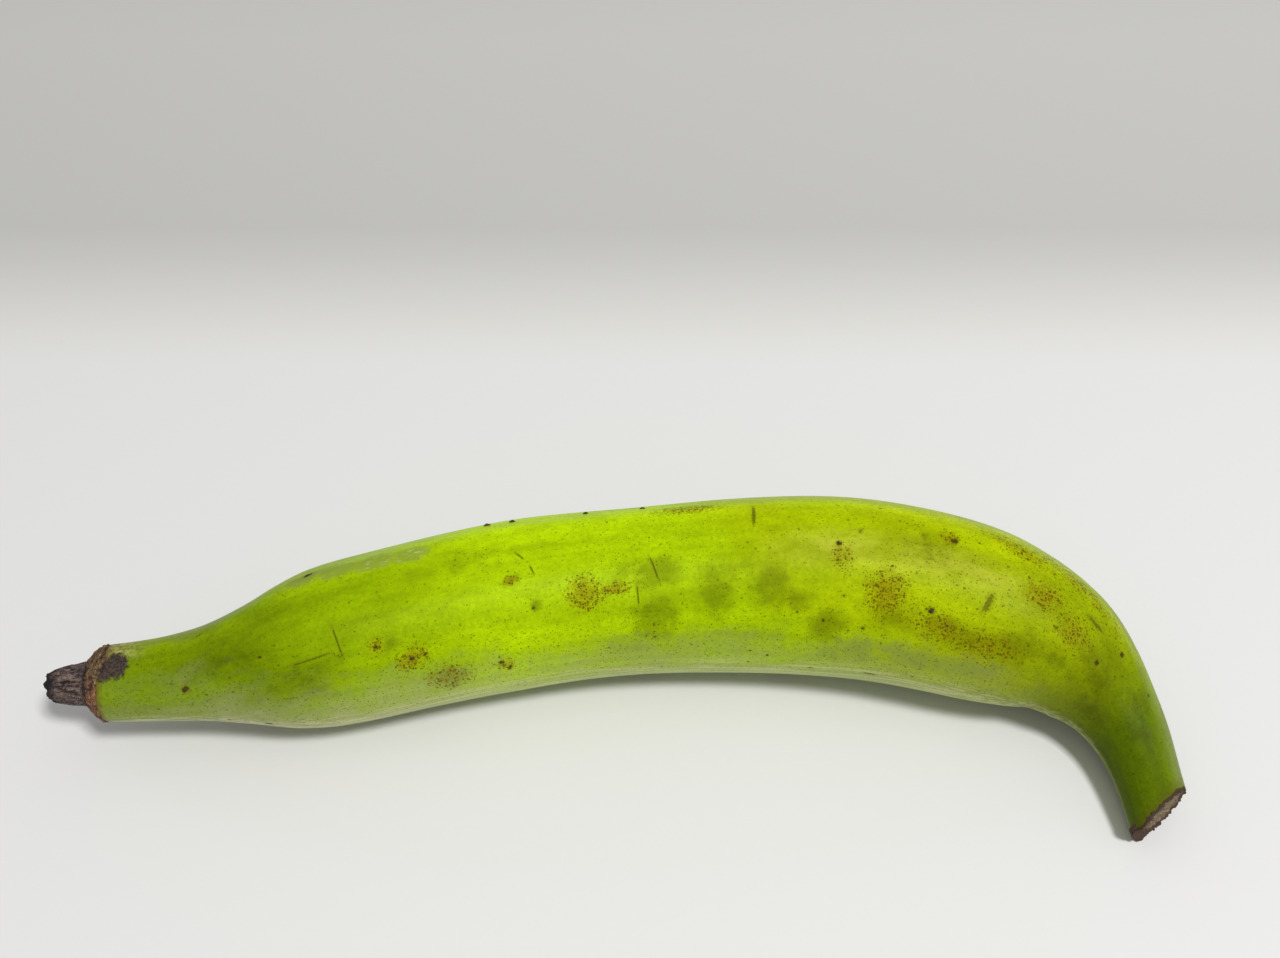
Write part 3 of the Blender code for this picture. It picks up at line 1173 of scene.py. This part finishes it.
def place_tip(share_along, share_round, fold_depth):
    """The corners of the stub, its ragged end and the crusty ring round its foot."""
    angle = math.tau * share_round + math.radians(SEAM_DEGREES)
    around = circle(angle)
    edge = 1.0 + 1.5 * lumps(around * 1.3, 1.0, 11) + 0.7 * lumps(around * 5.0, 1.0, 12)
    inner = np.clip(share_along / TIP_END_SHARE, 0.0, 1.0)
    outer = np.clip((share_along - TIP_END_SHARE) / (1 - TIP_END_SHARE), 0.0, 1.0)
    start = np.clip(edge, 0.0, TIP_BITE)
    ring_end = crust_end(angle) + 0.3
    closing = start * inner + TIP_HOLLOW * (1 - inner)
    at = np.where(outer > 0, start + (ring_end - start) * outer, closing)
    radius = curve_at(GIRTH, at)
    straight = straightened(at, angle, radius)

    stub = np.clip((STUB_END + 0.6 - at) / 1.2, 0.0, 1.0)
    twist = angle + at * STUB_TWIST
    folds = np.abs(np.sin(2.5 * twist + 0.6)) ** 0.8 + 0.45 * np.abs(np.sin(5.5 * twist + 1.9))
    fibre = lumps(strands(at, twist, 0.12, 5.0), 1.0, 15)
    hair = lumps(strands(at, twist, 0.35, 14.0), 1.0, 16)
    crumbs = lumps(straight, 0.9, 17)
    slit = np.exp(-1.6 * mark_distance(at, angle, TIP_SLIT) ** 2)
    grit = lumps(straight, 0.5, 20)
    stub_relief = fold_depth * (folds - 0.8) + 0.42 * fibre + 0.22 * hair
    stub_relief = stub_relief + 0.16 * crumbs + 0.10 * grit - 0.9 * slit

    ring = 1 - stub
    rolls = sum(high * bell(at, middle, half_width) for middle, half_width, high in CRUST_ROLLS)
    knots = lumps(straight * np.array([1.0, 0.8, 0.8]), 2.3, 18)
    cracks = -bell(lumps(straight * np.array([0.5, 1.0, 1.0]), 1.9, 19), 0.0, 0.10)
    ring_relief = rolls + 0.60 * knots + 0.45 * cracks + 0.24 * crumbs + 0.16 * grit - 0.25
    ends_under = np.clip((at - (ring_end - 0.7)) / 0.7, 0.0, 1.0)
    relief = stub_relief * stub + ring_relief * ring - 1.3 * ends_under ** 2
    full = np.where(outer > 0, radius + relief, (radius + relief) * np.sqrt(inner))
    full = np.maximum(full, 0.0)
    # The relief kept here is what paints shade in the tip's hollows.
    wear = np.stack([relief * MM, stub, at * MM], axis=-1)
    return on_fruit(at, angle, full), {STRAIGHT: straight * MM, WEAR: wear}


def tip_material(look):
    """Dry brown stub, black at its ragged end, with an orange brown crust round its foot, and
    painted shade in its hollows.
    """
    net = Network("dried_flower_tip")
    straight = net.attribute(STRAIGHT)
    along, _, high = net.parts(straight)
    fibres = net.noise(straight, 0.7, 4.0, 0.7, along=0.16)
    grain = net.noise(straight, 0.75, 4.0, 0.75)
    patches = net.noise(straight, 3.2, 3.0, 0.6)
    grit = net.noise(straight, 0.45, 3.0, 0.7)
    colour = net.mix(net.between(fibres, 0.42, 0.57), from_screen(44, 35, 38), look.wood)
    colour = net.layered(colour, (
        (fibres, 0.58, 0.66, 0.60, (142, 126, 116)),
        (grain, 0.54, 0.62, 0.70, (140, 118, 102)),
        (grain, 0.46, 0.38, 0.75, (36, 28, 32)),
        (patches, 0.50, 0.60, 0.55, (56, 46, 54)),
    ))
    from_end = net.ragged(along, patches, 0.004)
    colour = net.mix(net.between(from_end, 0.0042, 0.0015), colour, look.char)

    crease_noise = net.noise(straight, 2.0, 3.0, across=0.6)
    off_crease = net.math("ABSOLUTE", net.math("SUBTRACT", crease_noise, 0.5))
    crust = net.layered(look.ring, (
        (high, 0.0068, 0.0088, 0.80, (116, 98, 62)),
        (high, 0.0010, -0.0030, 0.65, (98, 82, 72)),
        (patches, 0.54, 0.44, 0.50, (84, 64, 48)),
        (grain, 0.50, 0.40, 0.85, (66, 48, 38)),
        (grain, 0.56, 0.64, 0.60, (176, 148, 106)),
        (grit, 0.46, 0.36, 0.60, (48, 36, 30)),
        (off_crease, 0.030, 0.004, 0.80, (34, 26, 24)),
    ))
    first_roll = net.between(from_end, 0.0128, 0.0116)
    crust = net.over(crust, first_roll, 0.80, from_screen(58, 44, 42))
    crust = net.over(crust, first_roll, net.between(grain, 0.54, 0.62), from_screen(142, 118, 86))
    colour = net.mix(net.between(along, 0.0104, 0.0114), colour, crust)
    # Painted shade: the stub and crust are darker where their relief is sunk.
    hollow_shade = net.between(net.parts(net.attribute(WEAR))[0], 0.0001, -0.0007)
    return net.finished({
        "Base Color": net.over(colour, hollow_shade, 0.80, from_screen(26, 20, 20)),
        "Roughness": 0.82,
        "Specular IOR Level": 0.3,
        "Normal": net.bump(net.scaled(fibres, 0.8, grain), 0.18),
    })


class PLANTAIN_OT_dried_tip(bpy.types.Operator):
    """Build the dried flower stub and the crusty ring round its foot"""

    bl_idname = "plantain.dried_tip"
    bl_label = "Build the dried tip"

    def execute(self, context):
        look = context.scene.plantain_tip
        shape = rolled_sheet(TIP_ROWS, TIP_COLUMNS, place_tip, look.fold_depth)
        finish_piece(shape, "dried_tip", tip_material(look), smooth_angle=80.0)
        return {"FINISHED"}


# The cut end of the stalk.

CUT_ROWS = 90
CUT_COLUMNS = 300
# Share of the cut's rows that make its face. The others tuck in behind the rim, this deep, in mm.
CUT_FACE_SHARE = 0.86
CUT_TUCK = 1.6
# How high the rim stays over the floor, in mm, to be clear of the peel's underside.
RIM_LIFT = 0.05
# How far the torn rim stands out at most, in mm.
TEAR_REACH = 0.5


def place_cut(share_along, share_round, tear):
    """The corners of the cut face, from its middle to the torn rim and a little into the peel."""
    angle = math.tau * share_round + math.radians(SEAM_DEGREES)
    end = cut_distance(angle)
    outline = on_fruit(end, angle, plain_radius(end, angle))
    middle = outline.mean(axis=0)
    normal = unit(np.array(CUT_NORMAL))
    inner = np.clip(share_along / CUT_FACE_SHARE, 0.0, 1.0)
    tucked = np.clip((share_along - CUT_FACE_SHARE) / (1 - CUT_FACE_SHARE), 0.0, 1.0)
    flat = middle + (outline - middle) * (inner * (1.005 - 0.08 * tucked))[:, None]
    coarse = np.maximum(lumps(circle(angle) * 5.0, 1.0, 21), -0.25)
    torn = torn_edge(angle) + tear * (1.5 * coarse + 1.1 * lumps(circle(angle) * 13.0, 1.0, 22))
    torn = np.where(torn > 0, TEAR_REACH * np.tanh(torn / TEAR_REACH), torn)
    rim = bell(inner, 0.96, 0.075)
    dish = -0.30 * (1 - inner**4)
    tufts = 0.50 * lumps(flat, 1.3, 23) + 0.35 * lumps(flat, 0.55, 24)
    height = dish + tufts * (1 - rim) + torn * rim + 0.12 * lumps(flat, 0.35, 25)
    height = np.where(tucked > 0, torn - tucked * (CUT_TUCK + torn), height)
    straight = straightened(end + height, angle, plain_radius(end, angle) * inner)
    places = flat + normal * height[:, None]
    lift = RIM_LIFT + 2 * HIDDEN_LIFT * np.minimum(tucked * 12, 1.0)
    places[:, 2] = np.maximum(places[:, 2], lift)
    return places, {STRAIGHT: straight * MM}


def cut_material(look):
    """Dried pith with dark strands and a dark, torn rim."""
    net = Network("cut_stalk")
    straight = net.attribute(STRAIGHT)
    across = net.stretch(straight, (0.0, 1.0, 1.0))
    off_pith = {0: across, 1: (0.0, -0.0012, 0.0003)}
    from_middle = net.add("VectorMath", off_pith, operation="DISTANCE")["Value"]
    blotch = net.noise(across, 1.6, 3.0)
    strand = net.add("TexVoronoi", {"Vector": across, "Scale": 1.0 / (0.9 * MM)})["Distance"]
    grain = net.noise(straight, 0.6, 4.0, 0.7)
    dim_pith = tuple(0.62 * part for part in look.pith)
    colour = net.mix(net.between(blotch, 0.35, 0.65), dim_pith, look.pith)
    colour = net.layered(colour, ((strand, 0.34, 0.14, 0.75, (64, 48, 34)),))
    edge = net.ragged(from_middle, blotch, 0.0024)
    colour = net.mix(net.between(edge, 0.0044, 0.0060), colour, look.rim)
    return net.finished({
        "Base Color": net.layered(colour, ((grain, 0.42, 0.30, 0.7, (40, 30, 24)),)),
        "Roughness": 0.85,
        "Specular IOR Level": 0.3,
        "Normal": net.bump(net.plus(grain, blotch), 0.15),
    })


class PLANTAIN_OT_cut_stalk(bpy.types.Operator):
    """Build the fibrous cut face at the end of the stalk, with its torn rim"""

    bl_idname = "plantain.cut_stalk"
    bl_label = "Build the cut stalk"

    def execute(self, context):
        look = context.scene.plantain_cut
        shape = rolled_sheet(CUT_ROWS, CUT_COLUMNS, place_cut, look.tear)
        finish_piece(shape, "cut_stalk", cut_material(look), smooth_angle=80.0)
        return {"FINISHED"}


# Scabs.

def scab_material():
    """Dark, dry scab."""
    net = Network("dry_scab")
    grain = net.noise(net.add("TexCoord", {})["Object"], 0.5, 3.0)
    tones = from_screen(34, 26, 18), from_screen(78, 62, 42)
    return net.finished({
        "Base Color": net.mix(net.between(grain, 0.35, 0.65), *tones),
        "Roughness": 0.85,
        "Normal": net.bump(grain, 0.08),
    })


class PLANTAIN_OT_scabs(bpy.types.Operator):
    """Build the small raised scabs on the peel"""

    bl_idname = "plantain.scabs"
    bl_label = "Build the scabs"

    def execute(self, context):
        shape = bmesh.new()
        for along, degrees, length, width, height in SCABS:
            at, angle = np.array(float(along)), np.array(math.radians(degrees))
            front, up = directions(at)
            out = Vector(front * math.cos(angle) + up * math.sin(angle))
            lengthwise = Vector(np.cross(front, up)) * -1
            sideways = out.cross(lengthwise)
            lump = bmesh.ops.create_icosphere(shape, subdivisions=3, radius=1.0)["verts"]
            size = Vector((length / 2, width / 2, height))
            for corner in lump:
                ragged = 1 + 0.28 * noise.noise(corner.co * 1.9 + Vector((along, 0, 0)))
                corner.co = corner.co * ragged * size
            seat = Vector(on_fruit(at, angle, plain_radius(at, angle)))
            turn = Matrix((lengthwise, sideways, out)).transposed().to_4x4()
            matrix = Matrix.Scale(MM, 4) @ Matrix.Translation(seat) @ turn
            bmesh.ops.transform(shape, matrix=matrix, verts=lump)
        finish_piece(shape, "scabs", scab_material())
        return {"FINISHED"}


# The stage.

FLOOR_REACH = 1.6
# The floor keeps its near colour up to this far back. Behind that it is its far colour, times a
# brightness at each distance: painted light and shade, a brighter band and then darker ones, that
# stand in for the light on a backdrop. All distances are in metres, and the last one is their
# scale.
NEAR_EDGE = 0.140
FAR_PAINTED_LIGHT_AND_SHADE = ((0.158, 1.19), (0.200, 0.967), (0.220, 0.892), (0.275, 0.925), (0.370, 0.983))
TONES_REACH = 0.40
LIGHT_PLACE = (0.66, -0.75, 1.80)
LIGHT_SIZE = 0.34
# How far to the right of the fruit's middle the camera stands, in mm.
CAMERA_SIDE = 8.1


class PLANTAIN_OT_stage(bpy.types.Operator):
    """Build the pale floor, the soft light and the camera"""

    bl_idname = "plantain.stage"
    bl_label = "Build the stage"

    def execute(self, context):
        look = context.scene.plantain_stage
        self.build_floor(look)
        self.build_light(look)
        self.build_camera(look)
        context.scene.view_settings.view_transform = "Standard"
        return {"FINISHED"}

    def build_floor(self, look):
        shape = bmesh.new()
        bmesh.ops.create_grid(shape, x_segments=2, y_segments=2, size=FLOOR_REACH)
        mesh = mesh_of(shape, "floor")
        net = Network("pale_card")
        back = net.parts(net.add("TexCoord", {})["Object"])[1]
        stops = [(NEAR_EDGE / TONES_REACH, look.floor)]
        # The far floor's tones are painted light and shade standing in for a backdrop.
        for at, tone in FAR_PAINTED_LIGHT_AND_SHADE:
            stops.append((at / TONES_REACH, tuple(part * tone for part in look.far_floor_shade)))
        mesh.materials.append(net.finished({
            "Base Color": net.ramp(net.math("DIVIDE", back, TONES_REACH), stops),
            "Roughness": 0.75,
            "Specular IOR Level": 0.2,
        }))
        add_object("floor", mesh)

    def build_light(self, look):
        lamp = bpy.data.lights.new("soft_light", "AREA")
        lamp.shape = "RECTANGLE"
        lamp.size, lamp.size_y = LIGHT_SIZE, LIGHT_SIZE
        lamp.energy = look.light_power
        light = add_object("soft_light", lamp)
        light.location = LIGHT_PLACE
        light.rotation_euler = (-light.location).to_track_quat("-Z", "Y").to_euler()
        world = bpy.data.worlds.new("soft_room")
        world.use_nodes = True
        background = world.node_tree.nodes["Background"]
        background.inputs["Color"].default_value = (1.0, 1.0, 1.0, 1.0)
        background.inputs["Strength"].default_value = look.fill
        bpy.context.scene.world = world

    def build_camera(self, look):
        lens = bpy.data.cameras.new("camera")
        lens.sensor_fit = "HORIZONTAL"
        lens.angle = look.camera_view
        lens.clip_start = 0.01
        camera = add_object("camera", lens)
        camera.location = (CAMERA_SIDE * MM, -look.camera_distance, look.camera_height)
        camera.rotation_euler = (math.pi / 2 - look.camera_pitch, 0.0, 0.0)
        bpy.context.scene.camera = camera


OPERATORS = (
    PLANTAIN_OT_peel,
    PLANTAIN_OT_dried_tip,
    PLANTAIN_OT_cut_stalk,
    PLANTAIN_OT_scabs,
    PLANTAIN_OT_stage,
)
SETTINGS = (
    ("plantain_peel", PeelSettings),
    ("plantain_tip", TipSettings),
    ("plantain_cut", CutSettings),
    ("plantain_stage", StageSettings),
)


class PLANTAIN_PT_panel(bpy.types.Panel):
    """Lists the fruit's settings and the buttons that build it"""

    bl_idname = "PLANTAIN_PT_panel"
    bl_label = "Plantain"
    bl_space_type = "VIEW_3D"
    bl_region_type = "UI"
    bl_category = "Plantain"

    def draw(self, context):
        for name, group in SETTINGS:
            box = self.layout.box()
            settings = getattr(context.scene, name)
            for prop in group.__annotations__:
                box.prop(settings, prop)
        for operator in OPERATORS:
            self.layout.operator(operator.bl_idname)


def register():
    for name, group in SETTINGS:
        bpy.utils.register_class(group)
        setattr(bpy.types.Scene, name, PointerProperty(type=group))
    for operator in OPERATORS:
        bpy.utils.register_class(operator)
    bpy.utils.register_class(PLANTAIN_PT_panel)


def unregister():
    bpy.utils.unregister_class(PLANTAIN_PT_panel)
    for operator in reversed(OPERATORS):
        bpy.utils.unregister_class(operator)
    for name, group in reversed(SETTINGS):
        delattr(bpy.types.Scene, name)
        bpy.utils.unregister_class(group)


def main():
    register()
    bpy.ops.plantain.peel()
    bpy.ops.plantain.dried_tip()
    bpy.ops.plantain.cut_stalk()
    bpy.ops.plantain.scabs()
    bpy.ops.plantain.stage()


if __name__ == "__main__":
    main()
